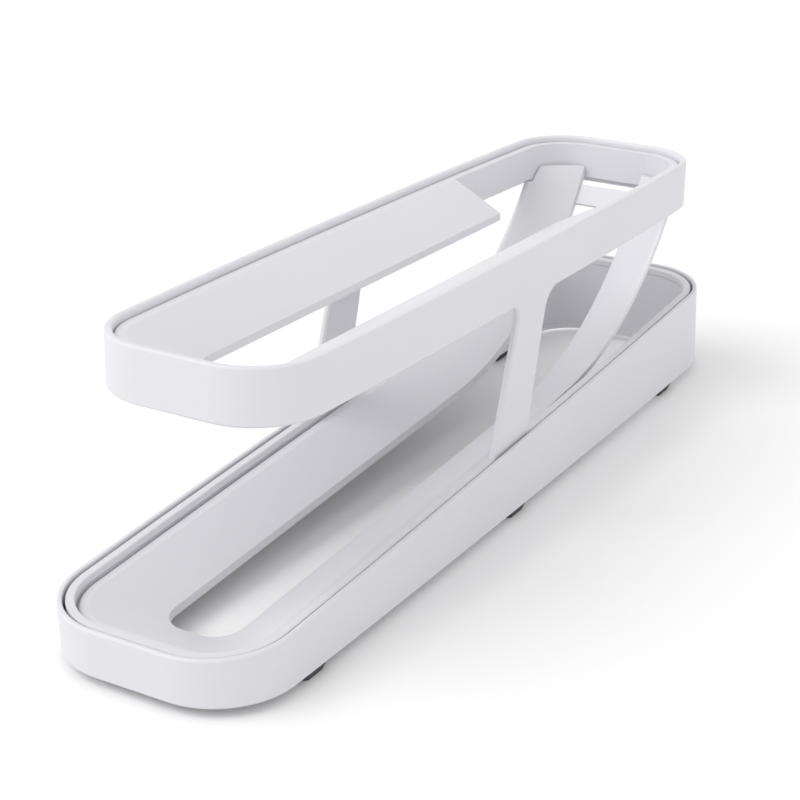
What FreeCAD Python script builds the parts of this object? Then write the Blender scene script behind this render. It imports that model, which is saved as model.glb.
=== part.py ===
import FreeCAD, Part
import math
import os

# Two-tier egg dispenser. Millimetres, +Z up, front towards -Y.
# The origin is on the table, under the middle of the base.

# Base ring: a wedge-shaped channel that stands on six feet
base_length = 359.0
base_width = 86.0
base_corner = 28.0
base_side_bow = 1.5
base_rim_front = 20.3
base_rim_back = 38.3
base_wall = 1.75
base_floor = 2.2
base_bottom_chamfer = 0.6
rim_round = 0.9
inner_rim_round = 0.4
round_steps = 3
track_seat = 2.1
track_seat_thickness = 2.0

# Straight middle of every long side, where the struts stand
side_flat = 60.0

# Support frame: lower ring, two struts and upper ring in one moulding.
# The lower ring is a cap that closes the base's channel, with a skirt down into it.
cap_width = 3.05
cap_height = 2.7
cap_round = 0.5
cap_drop = 0.6
skirt_wall = 1.5
upper_wall = 2.6
window_chamfer = 0.7
upper_front_setback = 29.1
upper_back_setback = 12.9
upper_corner = 24.7
upper_side_bow = 2.9
upper_top_front = 103.7
upper_top_back = 95.2
upper_height = 19.3
ledge_width = 1.4
ledge_thickness = 1.8

# Struts, seen from the side: foot in the lower ring, head at the upper ring
strut_foot_y = -9.0
strut_foot_length = 25.4
strut_head_y = 9.0
strut_head_length = 21.0
strut_front_round = 4.5
strut_back_round = 10.0
strut_root = 2.1
strut_head_overlap = 6.4

# Rails of the troughs, sheets of one thickness in both tiers
sheet = 1.8
rail_angle = 27.5
rim_ease = 0.4
rail_rim_round = 0.7

# Lower track: trough that runs up at the back as the drop chute
track_drop = 3.5
track_rim = 3.4
track_side_rim = 3.8
track_slot_width = 27.0
track_slot_front = 21.0
track_slot_corner = 10.0
track_lip = 3.2
chute_run = 133.5
chute_radius = 129.0
chute_edge = 1.1
chute_taper = 46.0
chute_turn = 75.0
chute_head_rise = 5.0
header_length = 9.0

# Upper tray: trough with a drop well at its back
tray_drop = 2.3
tray_rim = 3.5
tray_slot_width = 24.8
tray_slot_front = 20.0
tray_slot_corner = 9.0
tray_lip = 2.9
well_length = 86.6

# Feet: rubber pads pressed into pockets under the base
foot_height = 3.0
foot_length = 12.5
foot_width = 6.0
foot_corner = 1.2
foot_taper = 1.2
foot_edge = 0.6
plug_height = 1.0
plug_margin = 1.5
foot_front_setback = 42.0
foot_middle_y = -5.0
foot_back_setback = 50.5

# Clearances
rim_gap = 0.95
slide_gap = 0.35
seat_gap = 0.2
track_gap = 0.95
tray_gap = 0.45
chute_gap = 1.0

# Finding edges: points looked at along each, and how far off a face they may lie
edge_samples = 5
edge_slack = 1e-3

# Room that cutting bodies reach past the object
reach = base_length / 4

upper_length = base_length - upper_front_setback - upper_back_setback
upper_centre = (upper_front_setback - upper_back_setback) / 2
base_slope = math.degrees(math.atan((base_rim_back - base_rim_front) / base_length))
upper_slope = math.degrees(math.atan((upper_top_back - upper_top_front) / upper_length))
base_mid_height = (base_rim_front + base_rim_back) / 2
upper_mid_height = (upper_top_front + upper_top_back) / 2
frame_inset = base_wall + rim_gap
skirt_inset = frame_inset + skirt_wall
channel_inset = skirt_inset + slide_gap
hollow_inset = frame_inset + cap_width
floor_inset = foot_edge + foot_width
track_inset = hollow_inset + track_gap
tray_inset = upper_wall + tray_gap
upper_width = base_width - 2 * frame_inset
floor_top = foot_height + base_floor
chute_start = base_length / 2 - chute_run
well_front = upper_centre + upper_length / 2 - well_length
track_half_rim = base_width / 2 - track_inset - track_side_rim
back_lean = (base_rim_back - foot_height) * math.tan(math.radians(base_slope))
rail_tangent = math.tan(math.radians(rail_angle))
rail_drop = sheet / math.cos(math.radians(rail_angle))
track_depth = (track_half_rim - track_slot_width / 2) * rail_tangent
tray_half_rim = upper_width / 2 - tray_inset - tray_rim
tray_depth = (tray_half_rim - tray_slot_width / 2) * rail_tangent


def vec(x, y, z):
    return FreeCAD.Vector(x, y, z)


def line(a, b):
    return Part.LineSegment(a, b).toShape()


def arc(a, m, b):
    return Part.Arc(a, m, b).toShape()


def outline(length, width, corner, bow, centre, inset, height=0.0):
    """Loop in plan: rounded corners, long sides flat in the middle that bow in towards the ends."""
    half_flat = side_flat / 2
    corner_y = length / 2 - corner
    if bow:
        run = length / 2 - half_flat
        radius = (run * run + bow * bow) / (2 * bow)
        side_x = width / 2 - radius
        corner_x = side_x + math.sqrt((radius - corner) ** 2 - (corner_y - half_flat) ** 2)
        turn = math.atan2(corner_y - half_flat, corner_x - side_x)
    else:
        corner_x = width / 2 - corner
        turn = 0.0
    small = corner - inset
    flat_end = (width / 2 - inset, half_flat)
    side_end = (corner_x + small * math.cos(turn), corner_y + small * math.sin(turn))
    middle_turn = (turn + math.pi / 2) / 2
    corner_middle = (corner_x + small * math.cos(middle_turn), corner_y + small * math.sin(middle_turn))
    corner_end = (corner_x, corner_y + small)

    def quarter(sx, sy):
        def place(point):
            return vec(sx * point[0], centre + sy * point[1], height)
        if bow:
            large = radius - inset
            middle = (side_x + large * math.cos(turn / 2), half_flat + large * math.sin(turn / 2))
            side = arc(place(flat_end), place(middle), place(side_end))
        else:
            side = line(place(flat_end), place(side_end))
        bend = arc(place(side_end), place(corner_middle), place(corner_end))
        return [side, bend] if sx == sy else [bend, side]

    def level(sy):
        a = vec(sy * corner_end[0], centre + sy * corner_end[1], height)
        return line(a, vec(-a.x, a.y, height))

    def flat(sx):
        a = vec(sx * flat_end[0], centre - sx * half_flat, height)
        return line(a, vec(a.x, centre + sx * half_flat, height))

    loop = [flat(1)] + quarter(1, 1) + [level(1)] + quarter(-1, 1)
    loop += [flat(-1)] + quarter(-1, -1) + [level(-1)] + quarter(1, -1)
    return Part.Wire(loop)


def base_outline(inset, height=0.0):
    return outline(base_length, base_width, base_corner, base_side_bow, 0.0, inset, height)


def upper_outline(inset, height=0.0):
    return outline(upper_length, upper_width, upper_corner, upper_side_bow, 0.0, inset, height)


def straight_outline(half_width, half_length, corner, height=0.0):
    return outline(2 * half_length, 2 * half_width, corner, 0.0, 0.0, 0.0, height)


def prism(wire, bottom, top):
    solid = Part.Face(wire).extrude(vec(0, 0, top - bottom))
    solid.translate(vec(0, 0, bottom))
    return solid


def ring(loop_at, outer_inset, inner_inset, bottom, top):
    """Upright wall between two insets of one outline."""
    inner = prism(loop_at(inner_inset), bottom - reach, top + reach)
    return prism(loop_at(outer_inset), bottom, top).cut(inner)


def soft_block(loop_at, inset, bottom, top, radius, side=1):
    """Upright block, its upper edge rounded in facets: drawn in (side 1) or flared for a cut (-1)."""
    loops = [loop_at(inset, bottom)]
    for step in range(round_steps + 1):
        turn = math.pi / 2 * step / round_steps
        drawn_in = inset + side * radius * (1 - math.cos(turn))
        loops.append(loop_at(drawn_in, top - radius * (1 - math.sin(turn))))
    return Part.makeLoft(loops, True, True)


def soft_ring(loop_at, outer_inset, inner_inset, bottom, top, outer_radius, inner_radius):
    """Upright wall between two insets of one outline, with its rim rounded outside and inside."""
    outer = soft_block(loop_at, outer_inset, bottom, top, outer_radius)
    return outer.cut(soft_block(loop_at, inner_inset, bottom, top, inner_radius, -1))


def to_base(shape):
    """From the frame of the base's sloping rim to the table's frame."""
    shape.rotate(vec(0, 0, 0), vec(1, 0, 0), base_slope)
    shape.translate(vec(0, 0, base_mid_height))
    return shape


def to_upper(shape):
    """From the frame of the upper ring's sloping rim to the table's frame."""
    shape.rotate(vec(0, 0, 0), vec(1, 0, 0), upper_slope)
    shape.translate(vec(0, upper_centre, upper_mid_height))
    return shape


def below(height):
    """Everything under a level plane."""
    size = 2 * (base_length + reach)
    return Part.makeBox(size, size, size, vec(-size / 2, -size / 2, height - size))


def make_base_ring():
    wall = soft_ring(base_outline, 0.0, base_wall, -reach, 0.0, rim_round, inner_rim_round)
    inner_top = -cap_drop - cap_height - seat_gap
    inner = ring(base_outline, channel_inset, hollow_inset, -reach, inner_top)
    floor = to_base(ring(base_outline, base_wall / 2, floor_inset, -reach, 0.0))
    floor = floor.common(below(floor_top))
    body = to_base(wall).fuse([to_base(inner.fuse(seat_ledge())), floor]).cut(below(foot_height))
    body = body.common(bottom_chamfer())
    body = body.cut(list(six_feet(foot_plug).values()))
    return body.removeSplitter()


def seat_ledge():
    """Ledge inside the base that the rim of the lower track rests on."""
    top = -track_drop - rail_drop
    ledge = ring(base_outline, (channel_inset + hollow_inset) / 2, hollow_inset + track_seat,
                 top - track_seat_thickness, top)
    end = chute_start - chute_taper / 2
    behind = Part.makeBox(2 * base_width, base_length, 2 * reach, vec(-base_width, end, -reach))
    return ledge.cut(behind)


def bottom_chamfer():
    """Space that widens upwards from the bottom of the base, and trims its lower outer edge."""
    shift = (base_mid_height - foot_height) * math.tan(math.radians(base_slope))
    spread = 2 * base_bottom_chamfer

    def loop(inset, height):
        return outline(base_length, base_width, base_corner, base_side_bow, shift, inset, height)
    foot = loop(base_bottom_chamfer, foot_height)
    brim_height = foot_height + base_bottom_chamfer + spread
    cone = Part.makeLoft([foot, loop(-spread, brim_height)], True, True)
    return cone.fuse(prism(loop(-spread, 0.0), brim_height, brim_height + reach))


def strut_profile():
    """Side view of one strut, with rounded corners where it meets the upper ring."""
    lean = vec(0, math.cos(math.radians(upper_slope)), math.sin(math.radians(upper_slope)))
    down = vec(0, lean.z, -lean.y)
    ring_bottom = vec(0, upper_centre, upper_mid_height) + down * upper_height

    def head(y):
        return ring_bottom + lean * (y - upper_centre)
    foot_z = base_mid_height - cap_drop - strut_root
    front_foot = vec(0, strut_foot_y - strut_foot_length / 2, foot_z)
    back_foot = vec(0, strut_foot_y + strut_foot_length / 2, foot_z)
    front_head = head(strut_head_y - strut_head_length / 2)
    back_head = head(strut_head_y + strut_head_length / 2)
    front = rounded_corner(front_foot, front_head, lean * -1, strut_front_round)
    back = rounded_corner(back_foot, back_head, lean, strut_back_round)
    rise = down * -strut_head_overlap
    edges = [
        line(front_foot, front[0]),
        arc(*front),
        line(front[2], front[2] + rise),
        line(front[2] + rise, back[2] + rise),
        line(back[2] + rise, back[2]),
        arc(back[2], back[1], back[0]),
        line(back[0], back_foot),
        line(back_foot, front_foot),
    ]
    return Part.Wire(edges)


def rounded_corner(start, corner, way, radius):
    """Start, middle and end of the arc between a line that reaches a corner and one that leaves it."""
    back = (start - corner).normalize()
    half = back.getAngle(way) / 2
    length = radius / math.tan(half)
    inward = (back + way).normalize()
    centre = corner + inward * (radius / math.sin(half))
    return corner + back * length, centre - inward * radius, corner + way * length


def make_support_frame():
    cap_bottom = -cap_drop - cap_height
    cap = soft_ring(base_outline, frame_inset, hollow_inset, cap_bottom, -cap_drop, cap_round, cap_round)
    skirt = ring(base_outline, frame_inset, skirt_inset, -reach, cap_bottom + cap_height / 2)
    lower = to_base(cap.fuse(skirt)).cut(below(floor_top + seat_gap))
    upper = soft_ring(upper_outline, 0.0, upper_wall, -upper_height, 0.0, rim_round, rim_round)
    ledge_top = -tray_drop - rail_drop - seat_gap
    ledge_inset = upper_wall + ledge_width
    ledge = ring(upper_outline, upper_wall / 2, ledge_inset, ledge_top - ledge_thickness, ledge_top)
    strut = Part.Face(strut_profile()).extrude(vec(upper_wall, 0, 0))
    strut.translate(vec(upper_width / 2 - upper_wall, 0, 0))
    head = to_upper(upper.fuse(ledge)).fuse([strut, mirrored(strut)]).removeSplitter()
    head = head.makeChamfer(window_chamfer, window_edges(head))
    return head.fuse(lower).removeSplitter()


def window_edges(head):
    """Edges round the side windows: the ring's bottom edges and the long edges of the struts."""
    bottom = -upper_height
    ring_bottom = to_upper(prism(upper_outline(-reach), bottom - edge_slack, bottom + edge_slack))
    faces = (upper_width / 2, upper_width / 2 - upper_wall)
    found = []
    for edge in head.Edges:
        points = edge.discretize(edge_samples)
        on_bottom = all(ring_bottom.isInside(p, edge_slack, True) for p in points)
        on_strut = any(all(abs(abs(p.x) - x) < edge_slack for p in points) for x in faces)
        under_ring = max(p.z for p in points) < upper_top_back - upper_height / 2
        above_foot = max(p.z for p in points) > base_mid_height
        if on_bottom or (on_strut and under_ring and above_foot):
            found.append(edge)
    return found


def eased(loop_at, slot, depth):
    """Air above a pair of sloping rails: an eased rim, then straight down to the slot."""
    rim = loop_at(-rim_ease, 0.0)
    edge = loop_at(rim_ease, -rim_ease * rail_tangent)
    floor = slot.copy()
    floor.translate(vec(0, 0, -depth))
    return Part.makeLoft([rim, edge, floor], True, True), rim


def rails(air, rim, plate, openings, lip_bottom):
    """Sheet under the air of a trough, with a flat rim plate and a lip round its openings."""
    under = air.copy()
    under.translate(vec(0, 0, -rail_drop))
    collar = Part.Face(rim).extrude(vec(0, 0, -rail_drop))
    lips = [face.makeOffset2D(sheet).extrude(vec(0, 0, lip_bottom)) for face in openings]
    holes = [face.extrude(vec(0, 0, 2 * lip_bottom)) for face in openings]
    sky = Part.Face(rim).extrude(vec(0, 0, reach))
    return plate.fuse([under, collar] + lips).cut([air, sky] + holes)


def make_lower_track():
    half_length = base_length / 2 - track_inset - track_rim
    corner = base_corner - track_inset - track_rim

    def rim_at(inset, height):
        return straight_outline(track_half_rim - inset, half_length - inset, corner - inset, height)
    slot = straight_outline(track_slot_width / 2, half_length - track_slot_front, track_slot_corner)
    air, rim = eased(rim_at, slot, track_depth)
    plate = soft_block(base_outline, track_inset, -rail_drop, 0.0, rail_rim_round)
    body = rails(air, rim, plate, [Part.Face(slot)], -track_depth - track_lip)
    behind = Part.makeBox(2 * base_width, base_length, 2 * reach, vec(-base_width, chute_start, -reach))
    corner_cut = chute_shoulder()
    body = body.cut([behind, corner_cut, mirrored(corner_cut)])
    rail = chute_rail()
    body = body.fuse([rail, mirrored(rail), chute_header()])
    body.translate(vec(0, 0, -track_drop))
    return to_base(body).cut(chute_head_room()).removeSplitter()


def mirrored(shape):
    return shape.mirror(vec(0, 0, 0), vec(1, 0, 0))


def chute_edge_x():
    return track_half_rim + rim_ease + chute_edge


def chute_shoulder():
    """Wedge that narrows the rim plate down to the edge of the chute."""
    inner = chute_edge_x()
    outer = base_width / 2
    rate = chute_taper / (outer - track_inset - inner)
    points = [vec(inner, chute_start, -reach), vec(outer, chute_start, -reach),
              vec(outer, chute_start - rate * (outer - inner), -reach)]
    return Part.Face(Part.makePolygon(points + points[:1])).extrude(vec(0, 0, 2 * reach))


def chute_rail():
    """One rail of the chute: the trough's section turned up and back about a level axis."""
    slot = track_slot_width / 2
    outer, inner = track_half_rim + rim_ease, track_half_rim - rim_ease
    ease_drop = rim_ease * rail_tangent
    lip_bottom = -track_depth - track_lip
    points = [
        (chute_edge_x(), 0.0),
        (outer, 0.0),
        (inner, -ease_drop),
        (slot, -track_depth),
        (slot, lip_bottom),
        (slot + sheet, lip_bottom),
        (slot + sheet, -track_depth - rail_drop + sheet * rail_tangent),
        (inner, -ease_drop - rail_drop),
        (outer, -rail_drop),
        (chute_edge_x(), -rail_drop),
    ]
    section = Part.makePolygon([vec(x, chute_start, z) for x, z in points + points[:1]])
    return Part.Face(section).revolve(*chute_axis(), chute_turn)


def chute_axis():
    return vec(0, chute_start, chute_radius), vec(1, 0, 0)


def chute_header():
    """Strip across the back of the slot, just under the upper ring, which ties the two rails together."""
    half = (track_slot_width + sheet) / 2
    bottom = -track_depth - track_lip
    radius = chute_radius - bottom
    axis = to_base(Part.Vertex(0, chute_start, chute_radius - track_drop)).Point
    top_turn = math.degrees(math.acos((axis.z - upper_top_back + upper_height) / radius)) - base_slope
    turn = math.degrees(header_length / radius)
    points = [(-half, bottom), (half, bottom), (half, bottom + sheet), (-half, bottom + sheet)]
    face = Part.Face(Part.makePolygon([vec(x, chute_start, z) for x, z in points + points[:1]]))
    centre, way = chute_axis()
    face.rotate(centre, way, top_turn - turn)
    return face.revolve(centre, way, turn)


def chute_head_room():
    """What the head of the chute keeps clear of: the upper ring and, higher up, the wall of the drop well."""
    lip_bottom = -tray_drop - tray_depth - tray_lip
    ring_side = ring(upper_outline, -reach, upper_wall + chute_gap, -upper_height - chute_gap, reach)
    well_side = ring(upper_outline, -reach, tray_inset + tray_rim + chute_gap, lip_bottom - chute_gap, reach)
    sky = prism(upper_outline(-reach), lip_bottom + chute_head_rise, reach)
    return to_upper(ring_side.fuse([well_side, sky]))


def make_upper_tray():
    rim_inset = tray_inset + tray_rim

    def rim_at(inset, height):
        return upper_outline(rim_inset + inset, height)
    slot_half_length = upper_length / 2 - rim_inset - tray_slot_front
    slot = straight_outline(tray_slot_width / 2, slot_half_length, tray_slot_corner)
    air, rim = eased(rim_at, slot, tray_depth)
    plate = soft_block(upper_outline, tray_inset, -rail_drop, 0.0, rail_rim_round)
    body = rails(air, rim, plate, tray_openings(slot, rim_inset), -tray_depth - tray_lip)
    body.translate(vec(0, 0, -tray_drop))
    return to_upper(body).removeSplitter()


def tray_openings(slot, rim_inset):
    """Slot between the rails, and the drop well at the back."""
    start = well_front - upper_centre
    side = -base_width / 2
    front = Part.makeBox(base_width, base_length, 2 * sheet, vec(side, start - base_length, -sheet))
    back = Part.makeBox(base_width, base_length, 2 * sheet, vec(side, start + sheet, -sheet))
    well = Part.Face(upper_outline(rim_inset)).cut(front).Faces[0]
    return [Part.Face(slot).cut(back).Faces[0], well]


def foot_plug(x, y):
    """Stub on top of a foot, which fills a pocket under the base."""
    across, along = foot_width - 2 * plug_margin, foot_length - 2 * plug_margin
    return Part.makeBox(across, along, plug_height, vec(x - across / 2, y - along / 2, foot_height))


def foot_pad(x, y):
    """Pad with cut corners, drawn in towards the table on all four sides."""
    def trapezium(half, point):
        corners = [point(half, foot_height), point(-half, foot_height),
                   point(foot_taper - half, 0.0), point(half - foot_taper, 0.0)]
        return Part.Face(Part.makePolygon(corners + corners[:1]))

    def seen_from_front(u, z):
        return vec(x + u, y - foot_length / 2, z)

    def seen_from_side(u, z):
        return vec(x - foot_width / 2, y + u, z)
    pad = trapezium(foot_width / 2, seen_from_front).extrude(vec(0, foot_length, 0))
    pad = pad.common(trapezium(foot_length / 2, seen_from_side).extrude(vec(foot_width, 0, 0)))
    slanted = [e for e in pad.Edges if abs(e.BoundBox.ZLength - foot_height) < seat_gap]
    pad = pad.makeChamfer(foot_corner, slanted)
    return pad.fuse(foot_plug(x, y)).removeSplitter()


def six_feet(maker):
    """A shape for each foot, by name, from a function of the foot's place."""
    places = {
        "front": foot_front_setback - base_length / 2,
        "middle": foot_middle_y,
        "back": base_length / 2 - foot_back_setback,
    }
    shapes = {}
    for place, y in places.items():
        x = side_half_width(y) - foot_edge - foot_width / 2
        shapes["foot_" + place + "_right"] = maker(x, y)
        shapes["foot_" + place + "_left"] = maker(-x, y)
    return shapes


def side_half_width(y):
    """Half the width of the base's outline at a place along its bowed side."""
    run = base_length / 2 - side_flat / 2
    radius = (run * run + base_side_bow * base_side_bow) / (2 * base_side_bow)
    past_flat = max(abs(y) - side_flat / 2, 0.0)
    return base_width / 2 - radius + math.sqrt(radius * radius - past_flat * past_flat)


parts = {
    "base_ring": make_base_ring(),
    "support_frame": make_support_frame(),
    "lower_track": make_lower_track(),
    "upper_tray": make_upper_tray(),
}
parts.update(six_feet(foot_pad))

os.makedirs("parts", exist_ok=True)
for name, shape in parts.items():
    shape.translate(vec(0, -back_lean / 2, 0))
    solids = shape.Solids
    print(name, "solids", len(solids), "valid", shape.isValid(), "volume", round(shape.Volume, 1))
    (solids[0] if len(solids) == 1 else shape).exportStep(os.path.join("parts", name + ".step"))
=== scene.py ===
import math

import bpy
from mathutils import Matrix, Vector

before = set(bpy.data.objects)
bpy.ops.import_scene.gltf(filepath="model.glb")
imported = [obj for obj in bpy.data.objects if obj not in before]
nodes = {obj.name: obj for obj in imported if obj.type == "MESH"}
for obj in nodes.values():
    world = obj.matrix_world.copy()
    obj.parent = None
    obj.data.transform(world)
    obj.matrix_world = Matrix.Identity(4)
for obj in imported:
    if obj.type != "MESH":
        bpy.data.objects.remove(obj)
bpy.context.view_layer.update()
print("frame loaded:", sorted(nodes))

mm = 0.001  # metres in a millimetre


def hexColour(text):
    # sRGB hex to the linear colour that shaders take
    channels = [int(text[i:i + 2], 16) / 255 for i in (1, 3, 5)]
    return [c / 12.92 if c <= 0.04045 else ((c + 0.055) / 1.055) ** 2.4 for c in channels] + [1.0]


def addNode(tree, kind, settings=None, inputs=None):
    # one node: settings are attributes, inputs are values or sockets to link from,
    # by the socket's name, or by its place where sockets share a name
    node = tree.nodes.new(kind)
    for name, value in (settings or {}).items():
        setattr(node, name, value)
    for key, value in (inputs or {}).items():
        if isinstance(value, bpy.types.NodeSocket):
            tree.links.new(value, node.inputs[key])
        else:
            node.inputs[key].default_value = value
    return node


def newMaterial(name):
    material = bpy.data.materials.new(name)
    material.use_nodes = True
    material.node_tree.nodes.clear()
    return material, material.node_tree


# White ABS, injection moulded in a spark-eroded tool: an even satin white,
# with a fine pebble in the gloss and a faint clouding of the pigment
whitePlastic = {
    "paint": "#E4E3E8",
    "cloud": "#DFDEE3",
    "cloudSize": 60.0,    # mm, slow drift of the pigment
    "cloudDetail": 2.0,   # finer layers in the noise
    "cloudHarshness": 0.4,
    "pebbleSize": 0.9,    # mm, drawn coarser than the real tool texture so that it shows
    "pebbleDetail": 3.0,
    "pebbleHarshness": 0.55,
    "pebbleDepth": 0.02,  # mm
    "bumpStrength": 0.25,
    "pebbleSpread": (0.3, 0.7),   # the part of the noise that changes the gloss
    "roughness": (0.34, 0.46),    # in the hollows and on the tops
    "ior": 1.53,
}


def makeWhitePlastic(look):
    material, tree = newMaterial("white_ABS_moulded_satin")
    place = addNode(tree, "ShaderNodeTexCoord").outputs["Object"]
    cloud = addNode(tree, "ShaderNodeTexNoise", None,
                    {"Vector": place, "Scale": 1 / (look["cloudSize"] * mm),
                     "Detail": look["cloudDetail"], "Roughness": look["cloudHarshness"]})
    tint = addNode(tree, "ShaderNodeMix", {"data_type": "RGBA"},
                   {0: cloud.outputs["Fac"], 6: hexColour(look["paint"]), 7: hexColour(look["cloud"])})
    pebble = addNode(tree, "ShaderNodeTexNoise", None,
                     {"Vector": place, "Scale": 1 / (look["pebbleSize"] * mm),
                      "Detail": look["pebbleDetail"], "Roughness": look["pebbleHarshness"]})
    gloss = addNode(tree, "ShaderNodeMapRange", None,
                    {"Value": pebble.outputs["Fac"],
                     "From Min": look["pebbleSpread"][0], "From Max": look["pebbleSpread"][1],
                     "To Min": look["roughness"][0], "To Max": look["roughness"][1]})
    bump = addNode(tree, "ShaderNodeBump", None,
                   {"Height": pebble.outputs["Fac"], "Strength": look["bumpStrength"],
                    "Distance": look["pebbleDepth"] * mm})
    shader = addNode(tree, "ShaderNodeBsdfPrincipled", None,
                     {"Base Color": tint.outputs[2], "Roughness": gloss.outputs["Result"],
                      "IOR": look["ior"], "Normal": bump.outputs["Normal"]})
    addNode(tree, "ShaderNodeOutputMaterial", None, {"Surface": shader.outputs["BSDF"]})
    return material


# Dark grey rubber, compression moulded: matt, slightly dusty on the high spots
footRubber = {
    "colour": "#3A3A3D",
    "dust": "#57575B",
    "grainSize": 0.6,    # mm
    "grainDetail": 4.0,  # finer layers in the noise
    "grainHarshness": 0.6,
    "grainDepth": 0.04,  # mm
    "bumpStrength": 0.5,
    "roughness": 0.82,
    "ior": 1.52,
}


def makeFootRubber(look):
    material, tree = newMaterial("dark_rubber_moulded_matt")
    place = addNode(tree, "ShaderNodeTexCoord").outputs["Object"]
    grain = addNode(tree, "ShaderNodeTexNoise", None,
                    {"Vector": place, "Scale": 1 / (look["grainSize"] * mm),
                     "Detail": look["grainDetail"], "Roughness": look["grainHarshness"]})
    tint = addNode(tree, "ShaderNodeMix", {"data_type": "RGBA"},
                   {0: grain.outputs["Fac"], 6: hexColour(look["colour"]), 7: hexColour(look["dust"])})
    bump = addNode(tree, "ShaderNodeBump", None,
                   {"Height": grain.outputs["Fac"], "Strength": look["bumpStrength"],
                    "Distance": look["grainDepth"] * mm})
    shader = addNode(tree, "ShaderNodeBsdfPrincipled", None,
                     {"Base Color": tint.outputs[2], "Roughness": look["roughness"],
                      "IOR": look["ior"], "Normal": bump.outputs["Normal"]})
    addNode(tree, "ShaderNodeOutputMaterial", None, {"Surface": shader.outputs["BSDF"]})
    return material


plastic = makeWhitePlastic(whitePlastic)
rubber = makeFootRubber(footRubber)
for name, node in nodes.items():
    node.data.materials.clear()
    node.data.materials.append(rubber if name.startswith("foot_") else plastic)
print("materials set: plastic on the mouldings, rubber on the feet")


# Floor, a sky like a white cove under a dim ceiling, and one soft lamp from the front left
studio = {
    "floorSize": 8.0,        # m
    "floorGrey": "#E8E8E8",  # what lights the object
    "floorWhite": 1.02,      # what the camera sees, so that the lit floor is just white
    "skyLow": 1.31,          # light from the horizon
    "skyHigh": 0.51,         # light from overhead
    "skySeen": 1.0,          # what the camera and reflections see, plain white
    "lampFrom": (-0.46, -0.43, 0.77),
    "lampStrength": 1.09,
    "lampAngle": 45.0,       # degrees across, for shadows with a soft edge
}


def showsBackground(tree):
    # 1 on rays that show the background straight, in a reflection or through glass
    path = addNode(tree, "ShaderNodeLightPath").outputs
    bent = addNode(tree, "ShaderNodeMath", {"operation": "MAXIMUM"},
                   {0: path["Is Glossy Ray"], 1: path["Is Transmission Ray"]})
    shows = addNode(tree, "ShaderNodeMath", {"operation": "MAXIMUM"},
                    {0: path["Is Camera Ray"], 1: bent.outputs[0]})
    return shows.outputs[0]


def makeFloor(look):
    bpy.ops.object.select_all(action="DESELECT")
    bpy.ops.mesh.primitive_plane_add(size=look["floorSize"], location=(0, 0, 0))
    floor = bpy.context.object
    floor.name = "studio_floor"
    material, tree = newMaterial("studio_paper_white")
    grey = addNode(tree, "ShaderNodeBsdfDiffuse", None, {"Color": hexColour(look["floorGrey"])})
    white = addNode(tree, "ShaderNodeBsdfDiffuse", None, {"Color": [look["floorWhite"]] * 3 + [1.0]})
    paper = addNode(tree, "ShaderNodeMixShader", None,
                    {0: showsBackground(tree), 1: grey.outputs["BSDF"], 2: white.outputs["BSDF"]})
    addNode(tree, "ShaderNodeOutputMaterial", None, {"Surface": paper.outputs[0]})
    floor.data.materials.append(material)


def makeSky(look):
    world = bpy.data.worlds.new("studio_sky")
    bpy.context.scene.world = world
    world.use_nodes = True
    tree = world.node_tree
    tree.nodes.clear()
    way = addNode(tree, "ShaderNodeTexCoord").outputs["Generated"]
    height = addNode(tree, "ShaderNodeSeparateXYZ", None, {"Vector": way}).outputs["Z"]
    light = addNode(tree, "ShaderNodeMapRange", None,
                    {"Value": height, "To Min": look["skyLow"], "To Max": look["skyHigh"]})
    strength = addNode(tree, "ShaderNodeMapRange", None,
                       {"Value": showsBackground(tree), "To Min": light.outputs["Result"],
                        "To Max": look["skySeen"]})
    sky = addNode(tree, "ShaderNodeBackground", None,
                  {"Color": (1, 1, 1, 1), "Strength": strength.outputs["Result"]})
    addNode(tree, "ShaderNodeOutputWorld", None, {"Surface": sky.outputs["Background"]})


def makeLamp(look):
    lamp = bpy.data.objects.new("key_lamp", bpy.data.lights.new("key_lamp", "SUN"))
    lamp.data.energy = look["lampStrength"]
    lamp.data.angle = math.radians(look["lampAngle"])
    lamp.rotation_euler = Vector(look["lampFrom"]).to_track_quat("Z", "Y").to_euler()
    bpy.context.scene.collection.objects.link(lamp)


# Camera fitted to the photograph's view
camera = {
    "place": (334.88, -572.03, 312.86),  # mm
    "back": (0.4701, -0.8017, 0.3691),   # from the object towards the camera
    "lens": 86.67,    # mm
    "sensor": 36.0,   # mm
    "shift": (-0.0329, -0.0475),
    "clip": (0.01, 50.0),  # m
}


def makeCamera(look):
    data = bpy.data.cameras.new("photo_camera")
    data.lens, data.sensor_width = look["lens"], look["sensor"]
    data.shift_x, data.shift_y = look["shift"]
    data.clip_start, data.clip_end = look["clip"]
    eye = bpy.data.objects.new("photo_camera", data)
    back = Vector(look["back"]).normalized()
    right = Vector((0, 0, 1)).cross(back).normalized()
    turn = Matrix((right, back.cross(right), back)).transposed()
    eye.matrix_world = Matrix.Translation(Vector(look["place"]) * mm) @ turn.to_4x4()
    bpy.context.scene.collection.objects.link(eye)
    bpy.context.scene.camera = eye


makeFloor(studio)
makeSky(studio)
makeLamp(studio)
makeCamera(camera)
bpy.context.scene.view_settings.view_transform = "Standard"
print("studio ready: floor, sky, lamp and camera")
